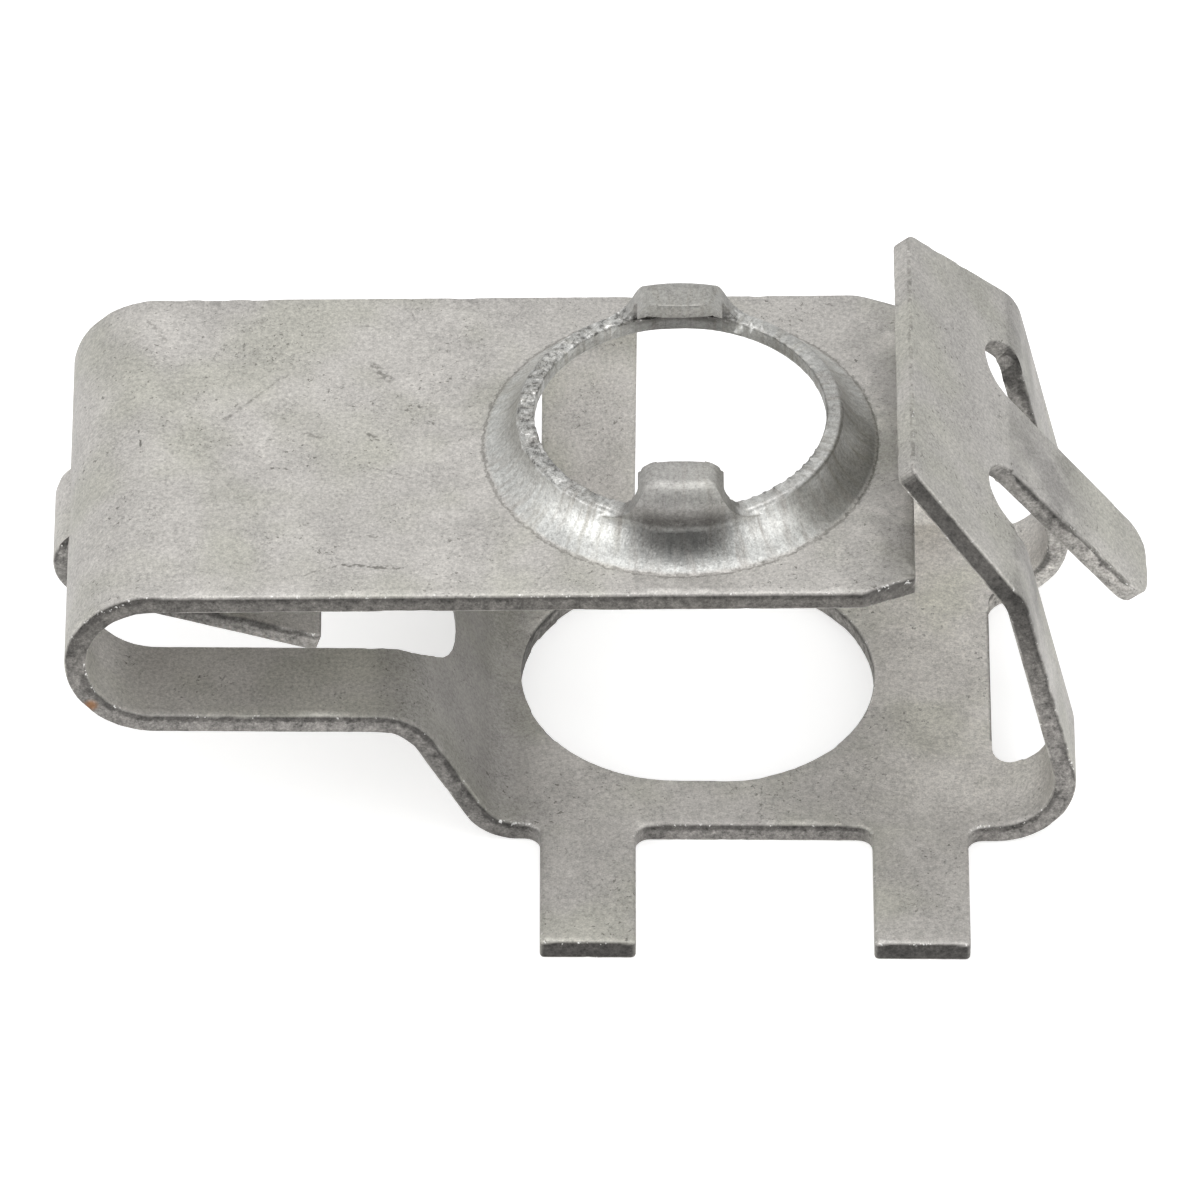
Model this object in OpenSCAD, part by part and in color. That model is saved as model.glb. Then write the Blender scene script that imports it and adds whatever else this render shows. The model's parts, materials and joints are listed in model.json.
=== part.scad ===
// Spring-steel nut retainer: one stamped strip, folded into a clip with a caged seat for a loose nut.
// X runs along the strip, Y across it (front is -Y), Z up. The origin is on the bolt axis, in the collar.

/* [Sheet] */
// Thickness of the sheet
sheet_t = 1.0; // [0.8:0.05:1.2]
// Width of the folded strip
strip_w = 20.6; // [18:0.1:24]

/* [Base plate] */
// Flat length of the base plate to the left of the bolt axis
base_left = 7.3; // [7:0.05:9]
// Flat length of the base plate to the right of the bolt axis
base_right = 14.55; // [13.6:0.05:16]
// Length of the oblong bolt clearance hole, along the strip
hole_l = 16.4; // [14.6:0.1:17]
// Width of the oblong bolt clearance hole, across the strip
hole_w = 14.4; // [12:0.1:14.5]
// Offset of the oblong hole from the bolt axis, along the strip
hole_shift = 0.95; // [0:0.05:1.2]

/* [Nut tabs] */
// Width of each tab
tab_w = 4.4; // [3:0.1:5]
// Place of the left pair of tabs from the bolt axis
tab_left = -4.15; // [-4.3:0.05:-3]
// Place of the right pair of tabs from the bolt axis
tab_right = 11.15; // [9.5:0.05:11.8]
// Reach of the front tabs, still flat, past the edge of the base plate
front_tab_l = 7.9; // [4:0.1:10]
// Height of the upright rear tabs above the floor of the cage
rear_tab_h = 12.4; // [6:0.1:13]
// Inner radius of the bend under each rear tab
rear_tab_r = 0.6; // [0.4:0.1:1.2]
// Fillet where a front tab meets the base plate
tab_fillet = 0.7; // [0.3:0.1:0.8]

/* [Joggle and arm] */
// Slope of the joggle between the base plate and the lower arm, in degrees
joggle_slope = 61; // [50:1:70]
// Straight length of the joggle
joggle_l = 4.7; // [3.5:0.1:6]
// Inner radius of the bend at the foot of the joggle
joggle_foot_r = 1.8; // [1:0.1:2.2]
// Inner radius of the bend at the head of the joggle
joggle_head_r = 2.1; // [1:0.1:2.4]
// Flat length of the lower arm
arm_l = 10.1; // [8:0.1:13]
// Width of the slot through the lower arm
slot_w = 11.0; // [9:0.1:12]
// Distance of the slot's right end from the bolt axis
slot_end = 10.3; // [10.1:0.05:11]
// Reach of the slot's rounded corners across its width
slot_corner_w = 4.5; // [2:0.1:4.5]
// Reach of the slot's rounded corners along the strip
slot_corner_l = 2.4; // [1:0.1:3]
// How far the slot runs up the main bend, above the bend's middle
slot_rise = 0.2; // [0:0.05:0.4]

/* [Bend and leaf] */
// Inner radius of the bend that turns the strip back over itself
bend_r = 3.15; // [2.6:0.05:3.8]
// Angle by which the leaf has sprung open from the base plate, in degrees
leaf_rise = 1.0; // [0:0.1:3]
// Reach of the leaf past the bolt axis
leaf_right = 10.65; // [10:0.05:11.5]
// Length of the cut-off corners at the leaf's free end
leaf_corner_l = 2.4; // [1:0.1:4]
// Depth of the cut-off corners at the leaf's free end
leaf_corner_w = 1.0; // [0.4:0.1:2]

/* [Collar] */
// Bore of the drawn collar
bore_d = 13.4; // [12:0.1:13.8]
// Diameter of the collar's rim outside
rim_d = 14.9; // [14.5:0.1:15.6]
// Diameter of the collar's foot on the leaf
collar_d = 18.2; // [17:0.1:19.4]
// Height of the collar above the leaf
collar_h = 1.95; // [1.4:0.05:2.6]
// Length of the straight part of the bore
bore_land = 0.8; // [0.5:0.05:1.1]
// Hollow of the collar's flank, as the sag of its curve
flank_sag = 0.28; // [0.05:0.01:0.3]
// Radius of the rounded lip outside the rim
lip_r = 0.3; // [0.1:0.05:0.35]
// Height of the two hooked ears above the rim
ear_h = 1.75; // [1.3:0.05:2.4]
// How far the outside of an ear stands out past the rim
ear_out = 0.15; // [0:0.05:0.2]
// Thickness of the ears, drawn thin
ear_t = 0.75; // [0.6:0.05:0.85]
// Width of an ear at the rim
ear_root_w = 5.0; // [3.5:0.1:6]
// Width of an ear at its top
ear_top_w = 3.1; // [2:0.1:4.5]
// Fillet where the sides of an ear rise from the rim
ear_fillet = 1.5; // [0.5:0.1:1.8]
// Reach of an ear's hook over the bore, from the outside of the ear
ear_reach = 2.3; // [1.6:0.1:2.6]
// Inner radius of the bend in each ear
ear_r = 0.3; // [0.2:0.05:0.5]

/* [Spring tongue] */
// Width of the spring tongue in the slot
tongue_w = 4.7; // [3:0.1:6]
// Straight length of the tongue
tongue_l = 10.9; // [6:0.1:12]
// Slope of the tongue below the arm, in degrees
tongue_slope = 17; // [10:0.5:22]
// How far the tongue bulges out past the bend
tongue_bulge = 0.7; // [0.5:0.05:0.8]
// How much tighter the tongue's bend is than the strip's own bend
tongue_tighter = 1.85; // [1.5:0.05:1.9]
// How far the middle of the tongue's bend lies below the middle of the strip's bend
tongue_drop = 0.98; // [0.8:0.02:1.1]

/* [Wall and flap] */
// Lean of the wall towards the leaf, in degrees from upright
wall_lean = 13.2; // [5:0.1:18]
// Straight length of the wall
wall_l = 10.1; // [8:0.1:12]
// Inner radius of the bend at the foot of the wall
wall_foot_r = 2.7; // [1.5:0.1:3.2]
// Inner radius of the fold between the wall and the flap
fold_r = 2.0; // [1:0.1:3]
// Slope of the flap, in degrees from level
flap_slope = 49; // [40:0.5:60]
// Straight length of the flap
flap_l = 7.2; // [5:0.1:9]
// Width of the flap at its free edge
flap_edge_w = 16.4; // [12:0.1:18]
// Corner radius of the flap's free edge
flap_corner_r = 0.6; // [0.3:0.1:1.5]
// Width of the window through the wall
window_w = 12.2; // [10:0.1:13]
// Corner radius of the window in the base plate
window_r = 1.1; // [0.5:0.1:2]

/* [Prong] */
// Slope of the prong, in degrees from level
prong_slope = 52; // [45:0.5:60]
// Length of the prong from the fold
prong_l = 10.6; // [7:0.1:13]
// Width of the prong at its root
prong_root_w = 5.0; // [4:0.1:5.4]
// Width of the prong near its tip
prong_tip_w = 4.6; // [3:0.1:5.4]
// Corner radius of the prong's tip
prong_tip_r = 1.5; // [0.5:0.1:1.8]
// Offset of the prong from the middle of the strip, towards the rear
prong_shift = 0.4; // [-0.5:0.1:0.5]
// Width of the round-ended slots beside the prong's root
side_slot_w = 3.6; // [3.4:0.1:4]
// Reach of the side slots into the flap, past the fold
side_slot_l = 1.65; // [1.2:0.05:1.7]

/* [Hidden] */
$fn = 96;
arc_step = 5;
over = 1;
edge_y = strip_w / 2;

// A path is a list of flats, each followed by a bend: [flat length, turn in degrees, inner radius].
// It yields the mid-line stations of a folded sheet: [x, z, heading].
function ahead(s, d) = [s[0] + d * cos(s[2]), s[1] + d * sin(s[2]), s[2]];
function turned(s, turn, r) =
    let (side = sign(turn), c = s[2] + 90 * side)
    [s[0] + r * (cos(c) + sin(s[2] + turn) * side),
     s[1] + r * (sin(c) - cos(s[2] + turn) * side),
     s[2] + turn];
function arc_stations(s, turn, r) =
    let (n = ceil(abs(turn) / arc_step))
    [for (i = [1 : n]) turned(s, turn * i / n, r)];
function fold_path(s, path, t, i = 0) =
    i == len(path) ? [s] :
    let (flat_end = ahead(s, path[i][0]))
    let (bend = path[i][1] == 0 ? [] : arc_stations(flat_end, path[i][1], path[i][2] + t / 2))
    let (next = len(bend) == 0 ? flat_end : bend[len(bend) - 1])
    let (arc = len(bend) < 2 ? [] : [for (j = [0 : len(bend) - 2]) bend[j]])
    concat([s], path[i][1] == 0 || path[i][0] == 0 ? [] : [flat_end], arc, fold_path(next, path, t, i + 1));
function beside(s, d) = [s[0] - d * sin(s[2]), s[1] + d * cos(s[2])];
function backwards(list) = [for (i = [len(list) - 1 : -1 : 0]) list[i]];
function ribbon(stations, t) =
    concat([for (s = stations) beside(s, t / 2)], backwards([for (s = stations) beside(s, -t / 2)]));

// An outline whose corners [x, y, radius] are rounded.
function unit(v) = v / norm(v);
function corner_arc(a, b, c) =
    let (u = unit([a[0] - b[0], a[1] - b[1]]), v = unit([c[0] - b[0], c[1] - b[1]]))
    let (half = acos(u * v) / 2, mid = b[2] / sin(half) * unit(u + v), reach = b[2] / tan(half))
    let (from = reach * u - mid, to = reach * v - mid, side = from[0] * to[1] - from[1] * to[0])
    let (sweep = (180 - 2 * half) * sign(side), n = ceil(abs(sweep) / (3 * arc_step)))
    [for (i = [0 : n])
        let (w = sweep * i / n)
        [b[0] + mid[0] + from[0] * cos(w) - from[1] * sin(w),
         b[1] + mid[1] + from[0] * sin(w) + from[1] * cos(w)]];
function rounded(corners) =
    let (n = len(corners))
    [for (i = [0 : n - 1])
        each corners[i][2] == 0
            ? [[corners[i][0], corners[i][1]]]
            : corner_arc(corners[(i + n - 1) % n], corners[i], corners[(i + 1) % n])];

// Stations of the strip, both ways from the left end of the flat base plate
foot = [-base_left, sheet_t / 2, 180];
left_path = fold_path(foot, [
    [0, -joggle_slope, joggle_foot_r],
    [joggle_l, joggle_slope, joggle_head_r],
    [arm_l, -(180 - leaf_rise), bend_r],
    [0, 0, 0]], sheet_t);
leaf_start = left_path[len(left_path) - 1];
leaf_l = (leaf_right - leaf_start[0]) / cos(leaf_rise);
leaf_end = ahead(leaf_start, leaf_l);
right_path = fold_path([-base_left, sheet_t / 2, 0], [
    [base_left + base_right, 90 + wall_lean, wall_foot_r],
    [wall_l, 90 - wall_lean - flap_slope, fold_r],
    [flap_l, 0, 0]], sheet_t);
flap_end = right_path[len(right_path) - 1];
flap_start = ahead(flap_end, -flap_l);

// Middle of the main bend, and the place of the collar on the leaf
bend_mid = beside(leaf_start, -(bend_r + sheet_t / 2));
leaf_top = leaf_start[1] - leaf_start[0] * tan(leaf_rise) + sheet_t / 2 / cos(leaf_rise);
bore_mid = collar_h - bore_land / 2;
origin_z = leaf_top + bore_mid * cos(leaf_rise);
origin_x = -bore_mid * sin(leaf_rise);

// Lays an outline drawn in X and Z across the strip
module across(width) rotate([90, 0, 0]) linear_extrude(width, center = true) children();

// Places children in the flap's own frame: X along the flap to its free edge, Z out of its outer face
module on_flap() {
    translate([flap_start[0], 0, flap_start[1]])
        rotate([0, -flap_start[2], 0])
            mirror([0, 0, 1])
                translate([0, 0, sheet_t / 2])
                    children();
}

// Places children on the leaf, with Z along the collar's axis from the leaf's top face
module on_leaf() translate([0, 0, leaf_top]) rotate([0, -leaf_rise, 0]) children();

module strip() {
    upper = concat(backwards([for (s = left_path) beside(s, -sheet_t / 2)]),
                   [for (i = [1 : len(right_path) - 1]) beside(right_path[i], sheet_t / 2)]);
    lower = concat(backwards([for (i = [1 : len(right_path) - 1]) beside(right_path[i], -sheet_t / 2)]),
                   [for (s = left_path) beside(s, sheet_t / 2)]);
    leaf_upper = beside(leaf_end, sheet_t / 2);
    leaf_lower = beside(leaf_end, -sheet_t / 2);
    across(strip_w) polygon(concat([leaf_lower], upper, lower, [leaf_upper]));
}

module leaf_corners() {
    for (side = [-1, 1])
        translate([0, 0, leaf_end[1] - sheet_t])
            linear_extrude(2 * sheet_t)
                polygon([[leaf_right - leaf_corner_l, side * edge_y],
                         [leaf_right - leaf_corner_l, side * (edge_y + over)],
                         [leaf_right + over, side * (edge_y + over)],
                         [leaf_right + over, side * (edge_y - leaf_corner_w * (1 + over / leaf_corner_l))]]);
}

module bolt_hole() {
    run = (hole_l - hole_w) / 2;
    translate([hole_shift, 0, -over]) {
        for (x = [-run, run])
            translate([x, 0, 0]) cylinder(d = hole_w, h = sheet_t + 2 * over);
        translate([-run, -hole_w / 2, 0]) cube([2 * run, hole_w, sheet_t + 2 * over]);
    }
}

// The slot runs from the side of the main bend, along the arm and down the joggle
module arm_slot() {
    flat = slot_w / 2 - slot_corner_w;
    end_arc = [for (a = [0 : 2 * arc_step : 90])
        [-slot_end - slot_corner_l * (1 - cos(a)), flat + slot_corner_w * sin(a)]];
    plan = concat(end_arc, [[bend_mid[0], slot_w / 2], [bend_mid[0], -slot_w / 2]],
                  backwards([for (p = end_arc) [p[0], -p[1]]]));
    translate([0, 0, sheet_t]) linear_extrude(bend_mid[1] - sheet_t) polygon(plan);
    outline = rounded([[-slot_w / 2, sheet_t, 0], [slot_w / 2, sheet_t, 0],
                       [slot_w / 2, bend_mid[1] + slot_rise, window_r],
                       [-slot_w / 2, bend_mid[1] + slot_rise, window_r]]);
    reach = bend_r + sheet_t + over;
    translate([bend_mid[0] - reach, 0, 0])
        rotate([90, 0, 90]) linear_extrude(reach) polygon(outline);
}

module tongue() {
    mid_r = bend_r - tongue_tighter + sheet_t / 2;
    centre = [bend_mid[0] - tongue_bulge - tongue_tighter, bend_mid[1] - tongue_drop];
    root = 60;
    start = [centre[0] - mid_r * cos(root), centre[1] + mid_r * sin(root), 270 - root];
    path = fold_path(start, [[0, 90 + root - tongue_slope, bend_r - tongue_tighter], [tongue_l, 0, 0]], sheet_t);
    across(tongue_w) polygon(ribbon(path, sheet_t));
}

// Removes the wall below the fold between the strip's two side bands
module wall_window() {
    reach = wall_foot_r + 3 * sheet_t;
    outline = rounded([[base_right, -window_w / 2, window_r], [base_right + reach, -window_w / 2, 0],
                       [base_right + reach, window_w / 2, 0], [base_right, window_w / 2, window_r]]);
    translate([0, 0, -over]) linear_extrude(flap_start[1] - fold_r + over) polygon(outline);
    on_flap() translate([-fold_r - wall_l / 2, -window_w / 2, -3 * sheet_t])
        cube([fold_r + wall_l / 2, window_w, 4 * sheet_t]);
}

// A round relief on each side of the prong's root carries the window on into the flap
module side_slots() {
    for (side = [-1, 1])
        on_flap() translate([side_slot_l - side_slot_w / 2,
                             prong_shift + side * (prong_root_w + side_slot_w) / 2,
                             -2 * sheet_t])
            cylinder(d = side_slot_w, h = 3 * sheet_t);
}

module flap_edges() {
    slope = (edge_y - flap_edge_w / 2) / flap_l;
    rim = rounded([[-over, edge_y + over * slope, 0], [flap_l, flap_edge_w / 2, flap_corner_r],
                   [flap_l, -flap_edge_w / 2, flap_corner_r], [-over, -edge_y - over * slope, 0]]);
    on_flap() translate([0, 0, -2 * sheet_t]) linear_extrude(3 * sheet_t)
        difference() {
            translate([0, -strip_w]) square([flap_l + over, 2 * strip_w]);
            polygon(rim);
        }
}

// The prong carries the flap on past the fold; its root is wedged into the flap's thickness
module prong() {
    root = 0.8 * sheet_t;
    plan = rounded([[root, prong_root_w / 2, 0], [-prong_l, prong_tip_w / 2, prong_tip_r],
                    [-prong_l, -prong_tip_w / 2, prong_tip_r], [root, -prong_root_w / 2, 0]]);
    section = [[0, 0], [-prong_l - over, 0], [-prong_l - over, -sheet_t], [0, -sheet_t], [root, -sheet_t / 2]];
    on_flap() translate([0, prong_shift, 0]) rotate([0, flap_slope - prong_slope, 0]) intersection() {
        translate([0, 0, -2 * sheet_t]) linear_extrude(3 * sheet_t) polygon(plan);
        rotate([90, 0, 0]) linear_extrude(2 * prong_root_w, center = true) polygon(section);
    }
}

module front_tabs() {
    root = edge_y - 2 * tab_fillet;
    pad = tab_w / 2 + 1.1 * tab_fillet;
    for (x = [tab_left, tab_right])
        translate([x, 0, 0]) linear_extrude(sheet_t)
            polygon(rounded([[-pad, -root, 0],
                             [-pad, -edge_y, 0],
                             [-tab_w / 2, -edge_y, tab_fillet],
                             [-tab_w / 2, -edge_y - front_tab_l, tab_fillet / 3],
                             [tab_w / 2, -edge_y - front_tab_l, tab_fillet / 3],
                             [tab_w / 2, -edge_y, tab_fillet],
                             [pad, -edge_y, 0],
                             [pad, -root, 0]]));
}

module rear_tabs() {
    start = [edge_y - 2 * sheet_t, sheet_t / 2, 0];
    upright = rear_tab_h - rear_tab_r;
    path = fold_path(start, [[2 * sheet_t, 90, rear_tab_r], [upright, 0, 0]], sheet_t);
    for (x = [tab_left, tab_right])
        translate([x, 0, 0]) rotate([90, 0, 90])
            linear_extrude(tab_w, center = true) polygon(ribbon(path, sheet_t));
}

// Outside of the drawn collar: a hollow flank that rises from a crease on the leaf to a rounded lip
module collar_outside() {
    foot_r = collar_d / 2;
    rim_r = rim_d / 2;
    run = foot_r - rim_r;
    chord = norm([run, collar_h]);
    steps = 8;
    flank = [for (i = [0 : steps - 1])
        let (f = i / steps, sag = 4 * flank_sag * f * (1 - f))
        [foot_r - run * f - sag * collar_h / chord, collar_h * f - sag * run / chord]];
    lip = corner_arc(flank[steps - 1], [rim_r, collar_h, lip_r], [0, collar_h]);
    sunk = sheet_t / 2;
    rotate_extrude() polygon(concat([[0, -sunk], [foot_r + sunk / 2, -sunk]], flank, lip, [[0, collar_h]]));
}

// Inside of the collar: a cone from a mouth as wide as the foot up to the straight bore
module collar_inside() {
    under_r = collar_d / 2;
    slope = (under_r - bore_d / 2) / (sheet_t + collar_h - bore_land);
    rotate_extrude() polygon([[0, -sheet_t - over], [under_r + slope * over, -sheet_t - over],
                              [bore_d / 2, collar_h - bore_land], [bore_d / 2, collar_h + over],
                              [0, collar_h + over]]);
}

// Two ears rise out of the flank, front and rear, with flared sides, and hook inwards over the bore
module ears() {
    sunk = sheet_t / 2;
    wall_r = rim_d / 2 + ear_out - ear_t / 2;
    rise = sunk + ear_h - ear_r - ear_t;
    hook = ear_reach - ear_r - ear_t;
    path = fold_path([wall_r, collar_h - sunk, 90], [[rise, 90, ear_r], [hook, 0, 0]], ear_t);
    flared = ear_root_w / 2 + 3 * sunk;
    front = rounded([[-flared, collar_h - sunk, 0], [flared, collar_h - sunk, 0],
                     [ear_root_w / 2, collar_h, ear_fillet], [ear_top_w / 2, collar_h + ear_h, ear_t],
                     [-ear_top_w / 2, collar_h + ear_h, ear_t], [-ear_root_w / 2, collar_h, ear_fillet]]);
    intersection() {
        rotate_extrude() polygon(ribbon(path, ear_t));
        across(2 * rim_d) polygon(front);
    }
}

module retainer() {
    color("#b4b1ac")
    translate([-origin_x, 0, -origin_z]) {
        difference() {
            union() {
                strip();
                front_tabs();
                on_leaf() collar_outside();
            }
            leaf_corners();
            bolt_hole();
            arm_slot();
            wall_window();
            side_slots();
            flap_edges();
            on_leaf() collar_inside();
        }
        rear_tabs();
        tongue();
        prong();
        on_leaf() ears();
    }
}

retainer();
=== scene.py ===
"""Looks of the nut retainer clip: a stamped and folded strip of dull zinc-plated spring steel."""

import json
import math

import bmesh
import bpy
import numpy as np
from mathutils import Matrix, Vector, noise
from mathutils.bvhtree import BVHTree


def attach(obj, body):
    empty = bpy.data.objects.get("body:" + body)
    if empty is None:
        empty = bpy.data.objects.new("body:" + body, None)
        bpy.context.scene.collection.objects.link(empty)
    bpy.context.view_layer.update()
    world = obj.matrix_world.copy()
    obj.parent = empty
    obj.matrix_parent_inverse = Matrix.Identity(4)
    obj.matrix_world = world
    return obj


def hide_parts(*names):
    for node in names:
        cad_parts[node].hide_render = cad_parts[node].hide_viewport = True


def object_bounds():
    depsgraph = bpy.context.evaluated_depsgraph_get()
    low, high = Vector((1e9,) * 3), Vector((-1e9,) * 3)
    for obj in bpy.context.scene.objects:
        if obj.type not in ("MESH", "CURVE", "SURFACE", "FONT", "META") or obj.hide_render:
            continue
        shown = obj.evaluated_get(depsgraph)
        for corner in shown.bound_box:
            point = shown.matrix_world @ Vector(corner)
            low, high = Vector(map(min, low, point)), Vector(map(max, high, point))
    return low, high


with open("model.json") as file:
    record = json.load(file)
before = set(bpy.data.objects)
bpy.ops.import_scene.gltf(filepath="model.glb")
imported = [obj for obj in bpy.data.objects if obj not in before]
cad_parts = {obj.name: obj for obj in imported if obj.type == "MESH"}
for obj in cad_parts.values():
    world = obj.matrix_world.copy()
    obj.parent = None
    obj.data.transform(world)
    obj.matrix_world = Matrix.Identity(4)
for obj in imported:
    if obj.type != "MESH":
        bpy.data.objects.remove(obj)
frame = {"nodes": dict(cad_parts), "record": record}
cad_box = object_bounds()

MM = 0.001

# The collar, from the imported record: its axis points down through the bore
COLLAR = next(m for m in frame["record"]["mounts"] if m["name"] == "collar_bore")
BORE_R = COLLAR["dims"]["r_mm"] * MM
BORE_LAND = COLLAR["dims"]["length_mm"] * MM
COLLAR_UP = -Vector(COLLAR["axis"]).normalized()
LEAF_SIDE = Vector((0, 1, 0))
LEAF_ALONG = LEAF_SIDE.cross(COLLAR_UP).normalized()

# Sizes of the stamped sheet that the finish follows
SHEET_T = 1.0 * MM
COLLAR_H = 1.95 * MM
FOOT_R = 9.1 * MM
RIM_WALL = 0.75 * MM
LEAF_TOP = BORE_LAND / 2 - COLLAR_H

# Mesh of the sheet: what counts as one point, as flat and as a sharp edge, and how edges are rounded
WELD = 0.005 * MM
FLAT = math.radians(2)
SHARP = math.radians(40)
SLANTING = math.radians(115)
FOOT_ANGLE = math.radians(10)
EDGE_STEP = 0.35 * MM
EDGE_ROUND = 0.15 * MM
RIM_ROUND = 0.09 * MM
RIM_DEPTH = 0.6 * MM
EDGE_SEGMENTS = 3
EDGE_ROOM = 2.2
STRAY = 0.08 * MM
STRIPE = 0.8 * MM
CELL_AREA = 0.8 * MM * MM
CREASE = 0.25 * MM
ON_EDGE = 0.012 * MM

# How uneven the stamping left the edges, and the torn end of the collar
NICK = 0.05 * MM
CUT_DEPTH = 1.15 * SHEET_T
END_CUT = 0.1
WAVER = 0.012 * MM
TEAR = 0.13 * MM
TEAR_TOWARDS = math.radians(150)

# Cuts inside the strip, and how far the corners of the ears' tips are worn back
INNER_CUT = 6.5 * MM
LOW_CUT = -5.0 * MM
EAR_HALF = 1.55 * MM
EAR_WEAR = 0.37 * MM

# The order of the sheet's finishes
FLAT_FINISH, COLLAR_FINISH, SHEARED_FINISH = range(3)


# Geometry of the sheet


def points_of(mesh):
    """The mesh's points as rows of an array."""
    flat = np.empty(len(mesh.vertices) * 3)
    mesh.vertices.foreach_get("co", flat)
    return flat.reshape(-1, 3)


def normals_of(mesh):
    """The mesh's point normals as rows of an array."""
    flat = np.empty(len(mesh.vertices) * 3)
    mesh.vertex_normals.foreach_get("vector", flat)
    return flat.reshape(-1, 3)


def place_points(mesh, points):
    """Moves the mesh's points."""
    mesh.vertices.foreach_set("co", points.reshape(-1))
    mesh.update()


def smoothstep(low, high, value):
    """0 below low, 1 above high, and smooth between."""
    t = np.clip((value - low) / (high - low), 0, 1)
    return t * t * (3 - 2 * t)


def solid_tree(mesh):
    """A search tree over the mesh's triangles."""
    mesh.calc_loop_triangles()
    corners = [tuple(v.co) for v in mesh.vertices]
    return BVHTree.FromPolygons(corners, [tuple(t.vertices) for t in mesh.loop_triangles])


def nearest_on(tree, points):
    """The nearest place on the solid to each point, and the face normal there."""
    found = [tree.find_nearest(p) for p in points]
    return np.array([f[0] for f in found]), np.array([f[1] for f in found])


def depth_of_metal(tree, places, normals):
    """How far the metal reaches straight in from each place on the solid."""
    skin = 0.02 * MM
    deep = 8 * SHEET_T
    hits = [tree.ray_cast(Vector(p) - skin * Vector(n), -Vector(n), deep) for p, n in zip(places, normals)]
    return np.array([deep if h[0] is None else h[3] + skin for h in hits])


def in_collar(points):
    """Each point's reach from the collar's axis, its height above the leaf, and its angle round the axis."""
    along, side, up = (np.array(v) for v in (LEAF_ALONG, LEAF_SIDE, COLLAR_UP))
    x, y, z = points @ along, points @ side, points @ up
    return np.hypot(x, y), z - LEAF_TOP, np.arctan2(y, x)


def keep_in_box(points):
    """Holds the points inside the box of the solids."""
    low, high = (np.array(c) for c in cad_box)
    return np.clip(points, low, high)


def ragged(points, size, seed):
    """Smooth noise from -1 to 1 with features of that size."""
    shift = Vector((seed, -seed, 2 * seed))
    return np.array([noise.noise(Vector(p) / size + shift) for p in points])


def at_foot(edge):
    """Whether an edge lies at the crease where the collar's flank rises from the leaf."""
    reach, height, _ = in_collar(np.array([v.co for v in edge.verts]))
    return bool((abs(reach - FOOT_R) < CREASE).all() and (abs(height) < CREASE).all())


def sharp_edges(bm):
    """The edges where two faces meet at a sharp angle, apart from the crease at the collar's foot."""
    return [e for e in bm.edges if e.calc_face_angle(0) > SHARP and not at_foot(e)]


def split_long_edges(edges):
    """Halves edges until each is no longer than a step, so that they can be made uneven."""
    waiting = list(edges)
    while waiting:
        edge = waiting.pop()
        if edge.calc_length() > EDGE_STEP:
            half, _ = bmesh.utils.edge_split(edge, edge.verts[0], 0.5)
            waiting += [edge, half]


def room_in_face(edge, face):
    """How far a face reaches straight in from the middle of one of its edges."""
    middle = (edge.verts[0].co + edge.verts[1].co) / 2
    along = (edge.verts[1].co - edge.verts[0].co).normalized()
    inward = face.normal.cross(along)
    if (edge.link_loops[0] if edge.link_loops[0].face == face else edge.link_loops[1]).vert != edge.verts[0]:
        inward = -inward
        along = -along
    corners = np.array([v.co - middle for v in face.verts])
    x, y = corners @ np.array(along), corners @ np.array(inward)
    x1, y1 = np.roll(x, -1), np.roll(y, -1)
    crosses = (x <= 0) != (x1 <= 0)
    span = np.where(crosses, x1 - x, 1)
    levels = (y - x * (y1 - y) / span)[crosses]
    levels = levels[levels > WELD]
    return levels.min() if len(levels) else 0


def at_collar_end(edge):
    """Whether an edge belongs to the collar's rim or to one of its ears."""
    reach, height, _ = in_collar(np.array([v.co for v in edge.verts]))
    return bool(((height > COLLAR_H - RIM_DEPTH) & (reach < FOOT_R)).all())


def in_ear_root(edge):
    """Whether an edge lies in the hollow where an ear rises from the flank."""
    return at_collar_end(edge) and not edge.is_convex


def low_inside(edge):
    """Whether an edge belongs to the slot or to the lower part of the window."""
    return all(abs(v.co.y) < INNER_CUT and v.co.z < LOW_CUT for v in edge.verts)


def round_edges(bm, edges, width):
    """Rounds the edges that have room for it on both faces. Where slot and window cross a bend, it leaves out
    the neighbours of a tight edge too, so that rounded and sharp stretches don't alternate."""
    roomy = [e for e in edges if e.calc_face_angle(0) < SLANTING and not in_ear_root(e)
             and all(room_in_face(e, f) > EDGE_ROOM * width for f in e.link_faces)]
    for _ in range(2):
        tight = {v for e in set(edges) - set(roomy) if low_inside(e) for v in e.verts}
        roomy = [e for e in roomy if not any(v in tight for v in e.verts)]
    for edge in set(edges) - set(roomy):
        edge.smooth = in_ear_root(edge)
    bmesh.ops.bevel(bm, geom=roomy, offset=width, offset_type="OFFSET", segments=EDGE_SEGMENTS,
                    profile=0.5, affect="EDGES", clamp_overlap=False)


def cut_across(bm, axis, least):
    """Cuts the faces of at least that area by planes across one axis."""
    normal = Vector([float(i == axis) for i in range(3)])
    for level in np.arange(cad_box[0][axis] + STRIPE / 2, cad_box[1][axis], STRIPE):
        faces = [f for f in bm.faces if f.calc_area() >= least]
        edges = list({e for f in faces for e in f.edges})
        verts = list({v for f in faces for v in f.verts})
        bmesh.ops.bisect_plane(bm, geom=verts + edges + faces, dist=WELD / 10, plane_co=normal * level,
                               plane_no=normal)


def cut_in_cells(bm):
    """Cuts the strip across and its flats into cells, so that a corner's shading stays near it."""
    cut_across(bm, 1, 0)
    cut_across(bm, 0, CELL_AREA)
    cut_across(bm, 2, CELL_AREA)


def on_rim(verts):
    """Whether any of the points lies at the collar's end."""
    reach, height, _ = in_collar(np.array([v.co for v in verts]))
    return bool(((reach < BORE_R + 2 * RIM_WALL) & (height > COLLAR_H - RIM_WALL)).any())


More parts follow.
